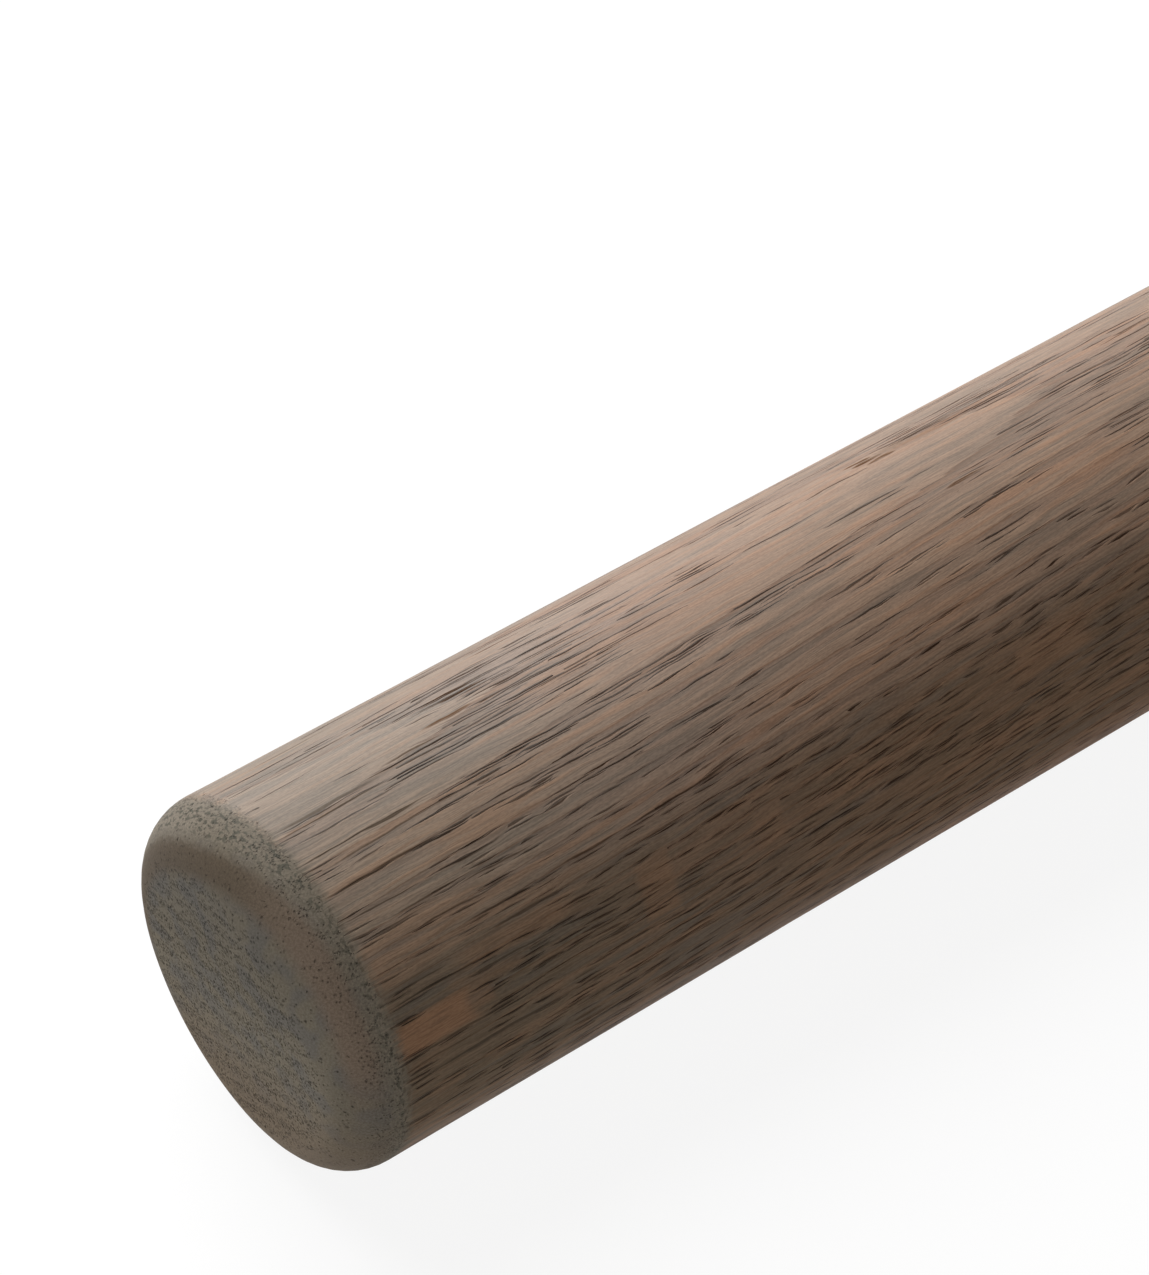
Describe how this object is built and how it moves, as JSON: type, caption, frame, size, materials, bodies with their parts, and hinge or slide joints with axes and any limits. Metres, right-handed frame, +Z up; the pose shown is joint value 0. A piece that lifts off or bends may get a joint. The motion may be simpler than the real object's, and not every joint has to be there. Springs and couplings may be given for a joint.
{
  "type": "stair handrail length",
  "caption": "Straight round oak handrail, turned from one piece, with softly rounded ends and a dark brushed finish, to be held by wall brackets or newels along a stair.",
  "frame": {"origin": "on the ground under the middle of the length, on the line where the lying rail touches", "axes": "+X along the rail's axis, +Z up, +Y across the rail"},
  "size_m": [1, 0.0448, 0.045],
  "materials": {
    "stained_oak": "matt, brushed, grey-brown stain"
  },
  "bodies": {
    "root": {"handrail": "stained_oak"}
  },
  "joints": []
}
